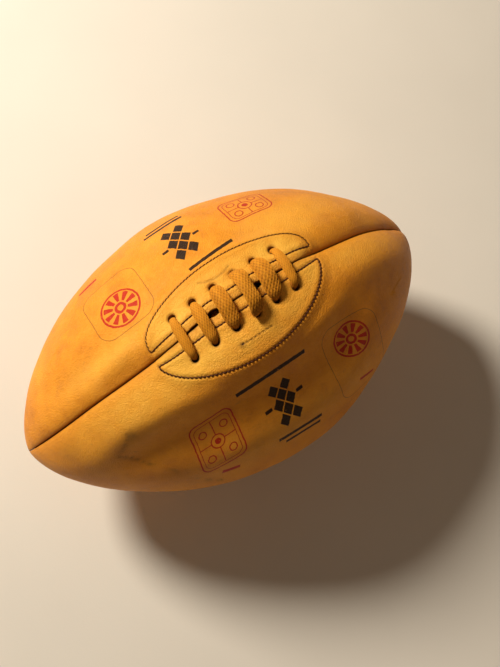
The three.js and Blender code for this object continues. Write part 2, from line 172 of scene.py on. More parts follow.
# ---- Making meshes ----
def placed(name, data):
    """A new object in the scene."""
    made = bpy.data.objects.new(name, data)
    bpy.context.scene.collection.objects.link(made)
    return made


def settle(piece, node):
    """A finished piece rides on the ball and stands for its CAD node."""
    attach(piece, "root")
    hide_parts(node)


def new_piece(name, points, faces, material, uv=None, floats=None, sharp=50):
    """A mesh object from points in millimetres, with its unused points dropped."""
    faces = [np.asarray(group, int) for group in faces if len(group)]
    used = np.unique(np.concatenate([group.ravel() for group in faces]))
    renumber = np.zeros(len(points), int)
    renumber[used] = np.arange(len(used))
    mesh = bpy.data.meshes.new(name)
    places = points[used] * MM + np.array(CENTRE)
    places[:, 2] = np.maximum(places[:, 2], 0)
    mesh.from_pydata(places.tolist(), [], [row for group in faces for row in renumber[group].tolist()])
    for label, values in (floats or {}).items():
        attribute = mesh.attributes.new(label, "FLOAT", "POINT")
        attribute.data.foreach_set("value", values[used].astype(np.float32))
    if uv is not None:
        corners = np.zeros(len(mesh.loops), np.int32)
        mesh.loops.foreach_get("vertex_index", corners)
        layer = mesh.uv_layers.new(name="flat")
        layer.data.foreach_set("uv", uv[used][corners].astype(np.float32).ravel())
    shape = bmesh.new()
    shape.from_mesh(mesh)
    bmesh.ops.recalc_face_normals(shape, faces=shape.faces)
    shape.to_mesh(mesh)
    shape.free()
    mesh.shade_smooth()
    mesh.set_sharp_from_angle(angle=math.radians(sharp))
    mesh.materials.append(material)
    return placed(name, mesh)


FLAT_UNIT = 100  # flat places are kept in units of this many millimetres


def flat_uv(x, across):
    """The same flat places for both faces of a plate."""
    flat = np.stack((x, across), -1).reshape(-1, 2) / FLAT_UNIT
    return np.concatenate((flat, flat))


def plate(outer, inner, kept):
    """Points and faces of a closed plate between two grids. Cells that aren't kept are holes in it."""
    rows, columns = outer.shape[:2]
    top = np.arange(rows * columns).reshape(rows, columns)
    bottom = top + rows * columns
    faces = []
    for grid in (top, bottom):
        quads = np.stack((grid[:-1, :-1], grid[:-1, 1:], grid[1:, 1:], grid[1:, :-1]), -1)
        faces.append(quads[kept])
    padded = np.pad(kept, 1)
    i, j = np.argwhere(padded[:-1, 1:-1] != padded[1:, 1:-1]).T
    faces.append(np.stack((top[i, j], top[i, j + 1], bottom[i, j + 1], bottom[i, j]), -1))
    i, j = np.argwhere(padded[1:-1, :-1] != padded[1:-1, 1:]).T
    faces.append(np.stack((top[i, j], top[i + 1, j], bottom[i + 1, j], bottom[i, j]), -1))
    return np.concatenate((outer.reshape(-1, 3), inner.reshape(-1, 3))), faces


def frames_along(centre, side):
    """Unit side and up vectors that are square to each line of points."""
    along = np.gradient(centre, axis=-2)
    along /= np.linalg.norm(along, axis=-1, keepdims=True)
    side = side - along * np.sum(side * along, -1, keepdims=True)
    side /= np.linalg.norm(side, axis=-1, keepdims=True)
    return side, np.cross(side, along)


def tubes(centre, side, width, thickness, sides):
    """Points and faces of one tube along each line of points, all of them the same length."""
    lines, steps = centre.shape[:2]
    side, up = frames_along(centre, side)
    angle = np.arange(sides) / sides * TURN
    wide = np.broadcast_to(width, (lines, steps))[..., None, None] * np.cos(angle)[:, None]
    thick = np.broadcast_to(thickness, (lines, steps))[..., None, None] * np.sin(angle)[:, None]
    points = centre[:, :, None] + side[:, :, None] * wide + up[:, :, None] * thick
    grid = np.arange(lines * steps * sides).reshape(lines, steps, sides)
    around = np.roll(grid, -1, axis=2)
    quads = np.stack((grid[:, :-1], around[:, :-1], around[:, 1:], grid[:, 1:]), -1)
    return points.reshape(-1, 3), [quads.reshape(-1, 4), grid[:, 0], grid[:, -1]]


# ---- Materials ----
class Value:
    """A number or colour that varies over a material, so that a sum of them reads as a sum."""

    def __init__(self, look, socket):
        self.look = look
        self.socket = socket

    def __add__(self, other):
        return self.look.math("ADD", self, other)

    def __sub__(self, other):
        return self.look.math("SUBTRACT", self, other)

    def __rsub__(self, other):
        return self.look.math("SUBTRACT", other, self)

    def __mul__(self, other):
        return self.look.math("MULTIPLY", self, other)

    def __abs__(self):
        return self.look.math("ABSOLUTE", self)


class Look:
    """A material's node tree, built by short calls."""

    def __init__(self, name):
        self.material = bpy.data.materials.new(name)
        self.material.use_nodes = True
        self.tree = self.material.node_tree
        self.shader = self.tree.nodes["Principled BSDF"]
        self.place = self.make("ShaderNodeTexCoord", "Object")

    def make(self, kind, output, inputs=None, **settings):
        """An output of a new node, whose inputs are given as numbers, colours or Values."""
        node = self.tree.nodes.new(kind)
        for key, value in settings.items():
            setattr(node, key, value)
        for key, value in (inputs or {}).items():
            self.feed(node.inputs[key], value)
        return Value(self, node.outputs[output])

    def feed(self, socket, value):
        if isinstance(value, Value):
            self.tree.links.new(value.socket, socket)
        elif socket.type == "RGBA":
            socket.default_value = (*value, 1)
        else:
            socket.default_value = value

    def math(self, operation, *values):
        return self.make("ShaderNodeMath", 0, dict(enumerate(values)), operation=operation)

    def biggest(self, *values):
        return reduce(lambda first, second: self.math("MAXIMUM", first, second), values)

    def rising(self, value, low, high):
        """0 below low and 1 above high. With low above high it falls instead."""
        inputs = {"Value": value, "From Min": min(low, high), "From Max": max(low, high)}
        inputs |= {"To Min": float(low > high), "To Max": float(low < high)}
        return self.make("ShaderNodeMapRange", "Result", inputs, interpolation_type="SMOOTHSTEP")

    def noise(self, size, detail=3.0, roughness=0.5, stretch=None):
        """Soft noise from 0 to 1, whose blotches are about size millimetres across."""
        vector = self.place
        if stretch:
            vector = self.make("ShaderNodeMapping", "Vector", {"Vector": vector, "Scale": stretch})
        inputs = {"Vector": vector, "Scale": 1 / (size * MM), "Detail": detail, "Roughness": roughness}
        return self.make("ShaderNodeTexNoise", "Fac", inputs)

    def cells(self, size):
        """How far inside a cell each point is. The cells are about size millimetres across."""
        inputs = {"Vector": self.place, "Scale": 1 / (size * MM)}
        return self.make("ShaderNodeTexVoronoi", "Distance", inputs, feature="DISTANCE_TO_EDGE")

    def attribute(self, name):
        return self.make("ShaderNodeAttribute", "Fac", attribute_name=name)

    def flat_place(self):
        """Where each point lies on its flat piece, along and across, in millimetres."""
        flat = self.make("ShaderNodeUVMap", "UV", uv_map="flat")
        return [self.make("ShaderNodeSeparateXYZ", axis, {0: flat}) * FLAT_UNIT for axis in "XY"]

    def mix(self, share, first, second):
        inputs = {"Factor": share, "A": first, "B": second}
        return self.make("ShaderNodeMix", "Result", inputs, data_type="RGBA")

    def ramp(self, value, *stops):
        """A colour from stops of (position, (r, g, b))."""
        colour = self.make("ShaderNodeValToRGB", "Color", {"Fac": value})
        elements = colour.socket.node.color_ramp.elements
        while len(elements) < len(stops):
            elements.new(0.5)
        for element, (position, shade) in zip(elements, stops):
            element.position = position
            element.color = (*shade, 1)
        return colour

    def bump(self, *layers):
        """Layers of (height, size in millimetres), from the broadest to the finest."""
        below = {}
        for height, distance in layers:
            inputs = {"Height": height, "Distance": distance * MM, **below}
            below = {"Normal": self.make("ShaderNodeBump", "Normal", inputs)}
        self.feed(self.shader.inputs["Normal"], below["Normal"])

    def finish(self, colour, roughness, **numbers):
        numbers = {"Base_Color": colour, "Roughness": roughness, **numbers}
        for key, value in numbers.items():
            self.feed(self.shader.inputs[key.replace("_", " ")], value)
        return self.material


class Ink:
    """Masks of printed shapes, 1 where the ink is, placed by x and distance from the lacing."""

    def __init__(self, look):
        self.look = look
        wobble = (look.noise(2.5, 2.0) - 0.5) * 0.8
        self.x, self.y = (place + wobble for place in look.flat_place())

    def local(self, x, y, turn=0):
        """Distances from a mark's middle, along its own two axes."""
        dx, dy = self.x - x, self.y - y
        if not turn:
            return dx, dy
        c, s = math.cos(math.radians(turn)), math.sin(math.radians(turn))
        return dx * c + dy * s, dy * c - dx * s

    def edge(self, distance):
        """1 where the distance is below zero, with an edge as soft as printed ink."""
        return self.look.rising(distance, 0.18, -0.18)

    def line(self, distance, thickness):
        """A line along a shape's edge."""
        return self.edge(abs(distance) - thickness / 2)

    def length(self, along, beside):
        return self.look.math("SQRT", along * along + beside * beside)

    def circle(self, x, y, radius):
        """The distance outside a circle, below zero inside it."""
        return self.length(*self.local(x, y)) - radius

    def box(self, x, y, half_length, half_height, corner, turn=0):
        """The distance outside a box with rounded corners."""
        along, beside = self.local(x, y, turn)
        ends, sides = abs(along) - (half_length - corner), abs(beside) - (half_height - corner)
        biggest = self.look.biggest
        outside = self.length(biggest(ends, 0.0), biggest(sides, 0.0))
        return outside + self.look.math("MINIMUM", biggest(ends, sides), 0.0) - corner

    def bar(self, x, y, half_length, half_height, turn=0):
        return self.edge(self.box(x, y, half_length, half_height, 0.3, turn))

    def frame(self, x, y, half_length, half_height):
        return self.line(self.box(x, y, half_length, half_height, 9.0), 0.5)

    def wheel(self, x, y, radius):
        """A spoked wheel."""
        rising = self.look.rising
        along, beside = self.local(x, y)
        angle = self.look.math("ARCTAN2", beside, along)
        spokes = rising(self.look.math("SINE", angle * 10.0), -0.35, 0.05)
        away = self.length(along, beside)
        band = rising(away, radius * 0.34, radius * 0.38) * rising(away, radius * 0.86, radius * 0.82)
        rim = self.line(away - radius * 0.95, radius * 0.1)
        hub = self.line(away - radius * 0.22, radius * 0.14)
        return self.look.biggest(spokes * band, rim, hub)

    def tile(self, x, y, half_length, half_height):
        """A rounded tile split in four, with a ring at its middle and dots in its quarters."""
        inner_length, inner_height = half_length * 0.84, half_height * 0.86
        ring = self.circle(x, y, half_length * 0.3)
        cross = self.look.biggest(self.bar(x, y, inner_length, 0.35), self.bar(x, y, 0.35, inner_height))
        marks = [
            self.line(self.box(x, y, half_length, half_height, 5.0), 0.9),
            self.line(self.box(x, y, inner_length, inner_height, 4.0), 0.5),
            self.line(ring, 0.8),
            cross * self.look.rising(ring, -0.2, 0.2),
            self.edge(self.circle(x, y, half_length * 0.14)),
        ]
        for i, j in ((-1, -1), (-1, 1), (1, -1), (1, 1)):
            dot = self.circle(x + i * half_length * 0.5, y + j * half_height * 0.5, half_length * 0.17)
            marks.append(self.line(dot, 0.8))
        return self.look.biggest(*marks)

    def diamonds(self, x, y):
        """A harlequin strip of eight small diamonds."""
        half_length, half_height, gap = 4.0, 4.9, 0.6
        marks = []
        for i, j in ((-1, -2), (1, -2), (-1, 0), (1, 0), (-1, 2), (1, 2), (0, -1), (0, 1)):
            along, beside = self.local(x + i * (half_length + gap), y + j * (half_height + gap))
            slanted = abs(along) * (1 / half_length) + abs(beside) * (1 / half_height)
            outside = (slanted - 1.0) * (1 / math.hypot(1 / half_length, 1 / half_height))
            marks.append(self.edge(outside))
        return self.look.biggest(*marks)


# Inks from the first printed to the last: name, strength and colour.
INKS = (
    ("brown", 0.6, (0.16, 0.035, 0.008)),
    ("red", 0.95, (0.55, 0.008, 0.004)),
    ("black", 0.98, (0.014, 0.005, 0.003)),
)
FRONT_BARS = (
    (0, 48.5, 25, 1.4, 3),
    (4, 98, 16, 1.4, 7),
    (5, 103.5, 13, 1.2, 7),
    (13, 72, 2.5, 1.2),
    (-11, 72, 2.5, 1.2),
)
FRONT_PRINTS = {
    "brown": {Ink.frame: [(59, 76, 21, 29)]},
    "red": {
        Ink.wheel: [(59, 63, 13)],
        Ink.tile: [(-46, 68, 14.5, 18)],
        Ink.bar: [(-45, 95, 6, 1.6, 20), (61, 97, 7, 1.2, 12)],
    },
    "black": {Ink.diamonds: [(1, 73)], Ink.bar: FRONT_BARS},
}
BACK_BARS = (
    (5, 32.5, 16, 1.3, 3),
    (-7, 79.5, 14, 1.2),
    (-6, 84, 12, 1.1),
    (6, 54, 2.2, 1.0),
    (-16, 54, 2.2, 1.0),
)
BACK_PRINTS = {
    "brown": {Ink.frame: [(-56, 46, 19, 21)]},
    "red": {Ink.wheel: [(-56, 41, 13)], Ink.tile: [(45, 58, 16, 13)], Ink.bar: [(-65, 80, 7, 1.4)]},
    "black": {Ink.diamonds: [(-5, 56)], Ink.bar: BACK_BARS},
}


def leather_look(name, prints=None):
    """Old waxed cowhide: tan and mottled, lighter in bleached spots and painted highlights, darkened by
    soiling and by painted shade in seams, grooves and holes, smooth where it is rubbed.
    """
    look = Look(name)
    soil_and_shade = look.attribute("soil_and_shade")
    blotches = look.noise(11, 5, 0.6)
    specks = look.noise(1.6, 3, 0.6)
    tone = look.noise(55, 4, 0.55) * 0.5 + blotches * 0.35 + specks * 0.15
    dark, mid, light = (0.64, 0.212, 0.012), (0.84, 0.312, 0.018), (0.94, 0.385, 0.030)
    colour = look.ramp(tone, (0.34, dark), (0.47, mid), (0.60, light))
    flush = look.rising(look.noise(24, 4, 0.6), 0.52, 0.72)
    colour = look.mix(flush * 0.4, colour, (0.74, 0.27, 0.045))
    freckles = look.rising(look.noise(1.7, 6, 0.8), 0.54, 0.72)
    colour = look.mix(freckles * 0.55, colour, (0.50, 0.18, 0.026))
    # Lighter leather: bleached places, the patch area, and painted highlights.
    fades_and_highlights = look.attribute("light_and_highlight") * look.noise(9, 4, 0.6) * 1.1
    colour = look.mix(fades_and_highlights, colour, (0.99, 0.53, 0.07))

    if prints:
        ink = Ink(look)
        worn = look.rising(look.noise(1.6, 5, 0.75) + look.noise(14, 3) * 0.3, 0.92, 0.78)
        for ink_name, strength, shade in INKS:
            masks = [draw(ink, *spot) for draw, spots in prints[ink_name].items() for spot in spots]
            colour = look.mix(look.biggest(*masks) * worn * strength, colour, shade)

    # Darkening from the attribute above: real soiling, and painted shade in seams, stitch grooves, lace
    # holes, turned-in edges and the leather's inner face.
    soil_and_shade_share = soil_and_shade * (look.noise(4, 5, 0.65) * 0.55 + 0.72)
    colour = look.mix(look.math("MINIMUM", soil_and_shade_share, 1), colour, (0.075, 0.030, 0.012))
    scratches = look.rising(look.noise(5, 4, 0.6, stretch=(0.25, 1.2, 1.2)), 0.66, 0.74)
    colour = look.mix(scratches * 0.22, colour, (0.33, 0.13, 0.035))

    pebbles = look.rising(look.cells(1.5), 0.0, 0.22)
    pores = look.rising(look.cells(0.7), 0.0, 0.16)
    creases = look.noise(3.2, 5, 0.65, stretch=(0.5, 1.0, 1.0))
    look.bump((creases, 0.38), (pebbles, 0.12), (pores, 0.08), (specks, 0.12))
    roughness = blotches * 0.22 + 0.36 + soil_and_shade * 0.25
    return look.finish(colour, roughness, Specular_IOR_Level=0.2, Coat_Weight=0.02, Coat_Roughness=0.35)


def flesh_look(name, dark, light):
    """The raw flesh side of leather: matt, fibrous and uneven."""
    look = Look(name)
    fibres = look.noise(1.2, 5, 0.7, stretch=(0.4, 1.5, 1.5))
    blotches = look.noise(16, 4, 0.6)
    colour = look.ramp(fibres * 0.5 + blotches * 0.5, (0.35, dark), (0.65, light))
    look.bump((blotches, 0.5), (fibres, 0.35))
    return look.finish(colour, fibres * 0.15 + 0.78, Specular_IOR_Level=0.25)


def yarn_look(name, dark, light, roughness, sheen):
    """Spun yarn: painted shade where it dips under its neighbours and lies low, with fine fibres along
    it.
    """
    look = Look(name)
    fibres = look.noise(0.35, 3, 0.7)
    soiling = look.noise(9, 4, 0.6)
    flecks = look.noise(1.3, 4, 0.75)
    # The lift attribute paints shade: yarn that lies lower is coloured darker.
    tone = look.attribute("lift") * 0.5 + fibres * 0.2 + soiling * 0.3 + flecks * 0.3
    colour = look.ramp(tone, (0.28, dark), (0.92, light))
    look.bump((fibres, 0.12))
    return look.finish(colour, fibres * 0.15 + roughness, Sheen_Weight=sheen, Specular_IOR_Level=0.2)


def canvas_look(name):
    """Plain-woven cotton, yellowed by glue."""
    look = Look(name)
    thread = 1.1
    warp, weft = (look.math("SINE", place * (TURN / thread)) for place in look.flat_place())
    weave = warp * weft * 0.5 + 0.5
    stains = look.noise(30, 4, 0.6)
    colour = look.ramp(stains, (0.35, (0.42, 0.32, 0.19)), (0.65, (0.66, 0.58, 0.42)))
    colour = look.mix((1 - weave) * 0.4, colour, (0.30, 0.23, 0.13))
    look.bump((weave, 0.25), (look.noise(0.6, 3, 0.7), 0.1))
    return look.finish(colour, stains * 0.1 + 0.85, Sheen_Weight=0.2)


def rubber_look(name, dark, light):
    """Old natural rubber, dusted with talc."""
    look = Look(name)
    cloud = look.noise(22, 5, 0.6)
    dust = look.rising(look.noise(3, 5, 0.7), 0.52, 0.72)
    colour = look.ramp(cloud, (0.35, dark), (0.65, light))
    colour = look.mix(dust * 0.3, colour, (0.62, 0.50, 0.42))
    look.bump((cloud, 0.4), (look.noise(0.9, 4, 0.6), 0.1))
    return look.finish(colour, dust * 0.35 + 0.5, Specular_IOR_Level=0.4)


def floor_look(name):
    look = Look(name)
    colour = look.ramp(look.noise(160, 3, 0.5), (0.3, (0.76, 0.745, 0.72)), (0.7, (0.80, 0.785, 0.76)))
    look.bump((look.noise(1.5, 3, 0.6), 0.05))
    return look.finish(colour, 0.85, Specular_IOR_Level=0.2)


front_leather = leather_look("leather_front", FRONT_PRINTS)
back_leather = leather_look("leather_back", BACK_PRINTS)
plain_leather = leather_look("leather_plain")
patch_leather = flesh_look("patch_leather", (0.20, 0.105, 0.045), (0.42, 0.25, 0.12))
tongue_leather = flesh_look("tongue_leather", (0.13, 0.060, 0.028), (0.32, 0.165, 0.080))
lace_cotton = yarn_look("lace_cotton", (0.22, 0.072, 0.006), (0.76, 0.315, 0.016), 0.6, 0.03)
dark_thread = yarn_look("dark_thread", (0.020, 0.005, 0.002), (0.105, 0.030, 0.012), 0.6, 0.0)
linen_thread = yarn_look("linen_thread", (0.22, 0.15, 0.08), (0.62, 0.50, 0.32), 0.75, 0.1)
lining_canvas = canvas_look("lining_canvas")
bladder_rubber = rubber_look("bladder_rubber", (0.20, 0.062, 0.030), (0.33, 0.115, 0.055))
plug_rubber = rubber_look("plug_rubber", (0.028, 0.024, 0.022), (0.055, 0.048, 0.044))


# ---- Lace patches' stitched outlines ----
def patch_share(x):
    return np.maximum(1 - ((x - PATCH_CENTRE) / PATCH_HALF_LENGTH) ** 2, 0)


def patch_edge(patch, x):
    """How far the stitched curve lies from the slit at x."""
    height = (patch["height"] - PATCH_TIP) * patch_share(x) ** patch["fullness"]
    return PATCH_TIP + height * (1 + patch["lean"] * (x - PATCH_CENTRE))


def straight_row(x):
    """The straight stitching beside the slit, which closes in towards the patch's tips."""
    return PATCH_TIP - 1 + (STITCH_ROW - PATCH_TIP + 1) * np.sqrt(patch_share(x))


def patch_outline(patch, spacing):
    """Points (x, across) round a patch's stitching: out along the curve and back along the slit."""
    x = PATCH_CENTRE - PATCH_HALF_LENGTH * np.cos(np.linspace(0, math.pi, 200))
    curve = np.stack((x, patch_edge(patch, x)), -1)
    back = np.stack((x[::-1], straight_row(x[::-1])), -1)
    return resampled(np.concatenate((curve, back[1:], curve[:1])), spacing)[:-1]


def nearest_on(outline, x, across):
    """The distance to a closed outline, and how far along it the nearest point is."""
    distance = np.full(x.shape, np.inf)
    along = np.zeros(x.shape)
    spacing = np.linalg.norm(outline[1] - outline[0])
    for i, (px, pa) in enumerate(outline):
        away = np.hypot(x - px, across - pa)
        nearer = away < distance
        distance[nearer] = away[nearer]
        along[nearer] = i * spacing
    return distance, along


# ---- The leather's relief ----
STITCH = 2.45  # from one stitch to the next
PUCKER = 4.6  # from one stitch of a seam to the next
WAVES = ((85, 0.5, 6), (30, 0.14, 8), (10, 0.035, 10))  # wavelength, height and number of waves
# Where the slit gapes, beside the laces: (x, how wide, reach).
GAPES = ((-13, 1.7, 4.5), (17, 1.5, 4.5), (-27, 0.5, 4), (30, 0.4, 4))
# Where the lacing's seam strays towards the front from its even course: (x, how far, reach).
STRAYS = ((82, 1.7, 34), (-21, -1.5, 14), (-98, -0.6, 22))
# Marks on the front and back panels, by x and distance from the lacing.
SCAR = ((-8.4, 23), (-2, 23.9), (4, 24), (12.5, 24.3))
SCUFFS = (
    ((-88, 25), (-94, 31)),
    ((-94, 31), (-101, 35)),
    ((-100, 36), (-87, 56)),
    ((-78, 66), (-73, 74)),
    ((-66, 88), (-52, 106)),
)
CREASE = ((-11.5, 20.9), (-7, 18.5), (-1, 17.2), (4.5, 17.4), (9, 19.2))


def unevenness(points):
    """Gentle dents and swells, as in any old ball."""
    random = np.random.default_rng(11)
    total = np.zeros(points.shape[:-1])
    for wavelength, height, count in WAVES:
        for _ in range(count):
            direction = random.normal(size=3)
            direction *= TURN / wavelength / np.linalg.norm(direction)
            phase = random.uniform(0, TURN)
            total += height / math.sqrt(count) * np.sin(points @ direction + phase)
    return total


def beyond_slit(x):
    """How far x is past the slit's end, below zero beside the slit."""
    return np.abs(x - LACE_CENTRE) - SLIT_HALF_LENGTH


def bells(spots, x):
    """Spots along the lacing, each (x, height, reach)."""
    return sum(height * bell(x - place, reach) for place, height, reach in spots)


def slit_gap(x):
    """Half the slit's opening."""
    share = np.maximum(1 - ((x - LACE_CENTRE) / SLIT_HALF_LENGTH) ** 2, 0)
    return SEAM_GAP + share**0.5 * (0.12 + bells(GAPES, x))


def seam_valley(x, across, size):
    """The broad valley that a sewn seam lies in, deepest towards the right nose."""
    right = smooth(40, 85, x)
    return -size * (2.1 + 2.3 * right) * np.exp(-across / size / (4.2 + 2.6 * right))


def seam_relief(x, across, size):
    """How a sewn seam's edge rolls over and down, with a pucker at each stitch."""
    away = across / size
    valley = -0.5 * np.exp(-away / 1.2) - 2.6 * np.exp(-away / 0.24)
    return size * (valley + 0.16 * np.sin(TURN * x / PUCKER) * np.exp(-away / 2.6))


def slit_relief(x, across):
    """The cut edges of the slit: pulled down by each lace, and proud between laces."""
    lips = -0.30 * np.cos(TURN * (x - HOLES[0]) / LACE_PITCH) * np.exp(-across / 4.5)
    return lips - 0.5 * np.exp(-across / 1.6) - 0.9 * np.exp(-across / 0.22)


def patch_relief(patch, x, across):
    """The step over the patch behind the leather, the groove and puckers of its stitching, and painted
    shade along the groove.
    """
    near = (np.abs(x - PATCH_CENTRE) < PATCH_HALF_LENGTH + 12) & (across < patch["height"] + 14)
    distance, along = np.full(x.shape, 99.0), np.zeros(x.shape)
    distance[near], along[near] = nearest_on(patch_outline(patch, 0.5), x[near], across[near])
    inside = (across < patch_edge(patch, x)) & (np.abs(x - PATCH_CENTRE) < PATCH_HALF_LENGTH)
    beyond = np.where(inside, -distance, distance)
    step = 1.1 * smooth(8.0, -0.5, beyond)
    puff = 0.22 * bell(beyond + 2.2, 1.6) + 0.12 * bell(beyond - 1.8, 1.3)
    turn = np.cos(TURN * along / STITCH)
    pucker = patch["pucker"] * bell(beyond - 0.9, 0.8) * turn
    groove = -bell(distance, 0.7) * patch["groove"] * (1 + 0.5 * turn)
    # Painted shade in the stitch groove, darker at each stitch.
    soil_and_shade = patch["groove"] * (0.9 + 0.5 * turn) * bell(distance, 0.5) + 0.06 * bell(distance, 1.4)
    return step + puff + groove + pucker, soil_and_shade


def line_distance(x, across, places):
    """The distance from a line through several places on a panel."""
    nearest = np.full(x.shape, np.inf)
    for a, b in zip(np.array(places[:-1], float), np.array(places[1:], float)):
        step = b - a
        share = ((x - a[0]) * step[0] + (across - a[1]) * step[1]) / np.sum(step**2)
        share = np.clip(share, 0, 1)
        away = np.hypot(x - a[0] - share * step[0], across - a[1] - share * step[1])
        nearest = np.minimum(nearest, away)
    return nearest


def spread(spots, x, across):
    """Soft spots, each (x, distance, reach along, reach across, height)."""
    total = np.zeros(x.shape)
    for place, distance, along, wide, height in spots:
        total += height * np.exp(-(((x - place) / along) ** 2) - ((across - distance) / wide) ** 2)
    return total


def hollow_shape(x, across):
    """The long hollow below the front panel's lacing: 1 where it is deepest."""
    brink = 52 - 0.17 * 12 * np.logaddexp(0, (15 - x) / 12)
    brink = brink - 0.35 * 10 * np.logaddexp(0, (x - 40) / 10)
    reach = smooth(-118, -72, x) * smooth(86, 46, x)
    low = brink + 31 - 10 * smooth(-50, -95, x)
    return reach * smooth(brink - 13, brink + 12, across) * smooth(low + 15, low - 15, across)


def broad_relief(panel, x, across):
    """Everything that is broad enough to bend the leather's inner face and the lining with it."""
    size = edge_size(x)
    bare = on_panel(panel, x, across, 0)
    height = (unevenness(bare) + spread(panel["swells"], x, across)) * size**2
    sewn = smooth(-3, 8, beyond_slit(x)) if panel["patch"] else 1
    height += sewn * seam_valley(x, across, size) + seam_valley(x, panel_width(x) - across, size)
    return height - panel["hollow"] * hollow_shape(x, across)


def front_marks(x, across):
    """The height and soiling of the front panel's scar and scuffs."""
    scar = line_distance(x, across, SCAR)
    ragged = 0.65 + 0.35 * np.sin(x * 2.3)
    height = 0.12 * bell(scar - 0.9, 0.6) - 0.45 * ragged * bell(scar, 0.5)
    scar_end = np.hypot(x - SCAR[0][0], across - SCAR[0][1])
    soil_and_shade = 0.85 * ragged * bell(scar, 0.55) + 0.6 * bell(scar_end, 1.7)
    patchy = 0.6 + 0.4 * np.sin(x * 1.9 + across) * np.sin(across * 1.3 - x * 0.6)
    for scuff in SCUFFS:
        away = line_distance(x, across, scuff)
        height -= 0.2 * bell(away, 0.9)
        soil_and_shade += 0.45 * patchy * bell(away, 0.9) + 0.09 * bell(away, 4.5)
    return height, soil_and_shade


def back_marks(x, across):
    """The height and darkening of the back panel's crease."""
    crease = line_distance(x, across, CREASE)
    return -0.25 * bell(crease, 0.6), 0.35 * bell(crease, 0.7)


def panel_surface(panel, x, across):
    """The height of a panel's outer face, the broad part of that height, and how dark the face is:
    soiling, and painted shade in seams, grooves and holes.
    """
    size = edge_size(x)
    far = panel_width(x) - across
    height = seam_relief(x + PUCKER / 2, far, size)
    near_seam = np.minimum(across, far) / size
    # Dark along each seam: real soiling in the seam, and painted shade in its valley.
    soil_and_shade = 0.8 * np.exp(-near_seam / 0.4) + 0.2 * np.exp(-near_seam / 3.0)
    if panel["patch"]:
        sewn = smooth(-3, 3, beyond_slit(x))
        height += sewn * seam_relief(x, across, size) + (1 - sewn) * slit_relief(x, across)
        layers = patch_relief(panel["patch"], x, across), panel["marks"](x, across)
        for more_height, more_soil_and_shade in layers:
            height += more_height
            soil_and_shade += more_soil_and_shade
        for hole in HOLES:
            away = np.hypot(x - hole, across - HOLE_ROW)
            height -= 0.75 * bell(away, 4.6) + 0.5 * bell(away - 2.2, 0.8)
            # Painted shade round the rim of each lace hole.
            soil_and_shade += 0.8 * bell(away - 2.0, 1.0)
        for stain_x, stain_across, wide, dark in panel["stains"]:
            soil_and_shade += dark * bell(np.hypot(x - stain_x, across - stain_across), wide)
    else:
        height += seam_relief(x, across, size)
    broad = broad_relief(panel, x, across)
    return height + broad, broad, soil_and_shade


# Swells and paler places are (x, distance from the first seam, reach along, reach across, height); some
# paler places are painted highlights.
# Stains are (x, distance from the first seam, how wide, how dark).
PANELS = {
    "upper_front": dict(
        seam=TOP_SEAM,
        side=1,
        patch=PATCH_OF["front"],
        marks=front_marks,
        material=front_leather,
        hollow=6.0,
        swells=(
            (-78, 26, 38, 13, 1.7),
            (2, 27, 40, 13, 1.3),
            (90, 22, 30, 10, 1.7),
            (86, 42, 28, 13, -1.1),
            (-104, 42, 18, 14, -0.5),
        ),
        # Paler places: those at x -76 and 88, beside the seam, are painted highlights.
        fades_and_highlights=(
            (-76, 15, 40, 15, 1.1),
            (88, 12, 30, 9, 0.9),
            (-38, 16, 18, 12, 0.8),
            (0, 90, 80, 16, 0.6),
        ),
        stains=(
            (-87, 27, 3, 0.5),
            (-84, 32, 8, 0.16),
            (-116, 36, 10, 0.14),
            (-124, 16, 8, 0.2),
            (-70, 70, 16, 0.12),
        ),
    ),
    "upper_back": dict(
        seam=TOP_SEAM,
        side=-1,
        patch=PATCH_OF["back"],
        marks=back_marks,
        material=back_leather,
        hollow=0,
        swells=(
            (-68, 14, 18, 7, 1.7),
            (-98, 22, 16, 9, -1.4),
            (-80, 3, 24, 5, -0.7),
            (-88, 10, 28, 8, 0.7),
            (92, 15, 28, 10, 0.8),
        ),
        # Paler places: the one at x -80, beside the seam, is a painted highlight.
        fades_and_highlights=(
            (-80, 17, 28, 9, 0.9),
            (62, 28, 40, 15, 0.8),
            (-34, 13, 20, 9, 0.8),
            (36, 12, 20, 9, 0.4),
        ),
        stains=((106, 10, 9, 0.14), (-100, 20, 9, 0.12), (70, 80, 18, 0.1)),
    ),
    "lower_front": dict(
        seam=BOTTOM_SEAM,
        side=-1,
        patch=None,
        material=plain_leather,
        hollow=0,
        swells=((-30, 70, 40, 22, -1.6), (60, 50, 26, 18, 0.9)),
        fades_and_highlights=((-50, 60, 50, 26, 0.5),),
    ),
    "lower_back": dict(
        seam=BOTTOM_SEAM,
        side=1,
        patch=None,
        material=plain_leather,
        hollow=0,
        swells=((35, 66, 34, 20, -1.5), (-64, 60, 24, 22, 1.0)),
        fades_and_highlights=((40, 60, 50, 26, 0.5),),
    ),
}


def open_at(panel, x):
    return bool(panel["patch"]) & (beyond_slit(x) < 0)


def strayed(panel, x, across):
    """Distance from the seam, moved by the gap there and by the way that the seam strays."""
    far = panel_width(x) - across
    gap = np.where(open_at(panel, x), slit_gap(x), SEAM_GAP)
    stray = panel["side"] * bells(STRAYS, x) * bool(panel["patch"]) * edge_size(x)
    moved = across + gap * np.exp(-across / 6) + stray * np.exp(-across / 14)
    return moved - SEAM_GAP * np.exp(-far / 6)


def lightening_and_highlights(panel, x, across):
    """1 where the leather is lighter: over a lace patch, where light has bleached it, and in painted
    highlights.
    """
    light_and_highlight = spread(panel["fades_and_highlights"], x, across)
    if panel["patch"]:
        over_patch = smooth(4, -10, across - patch_edge(panel["patch"], x))
        light_and_highlight += over_patch * smooth(6, -10, np.abs(x - PATCH_CENTRE) - PATCH_HALF_LENGTH)
    return light_and_highlight


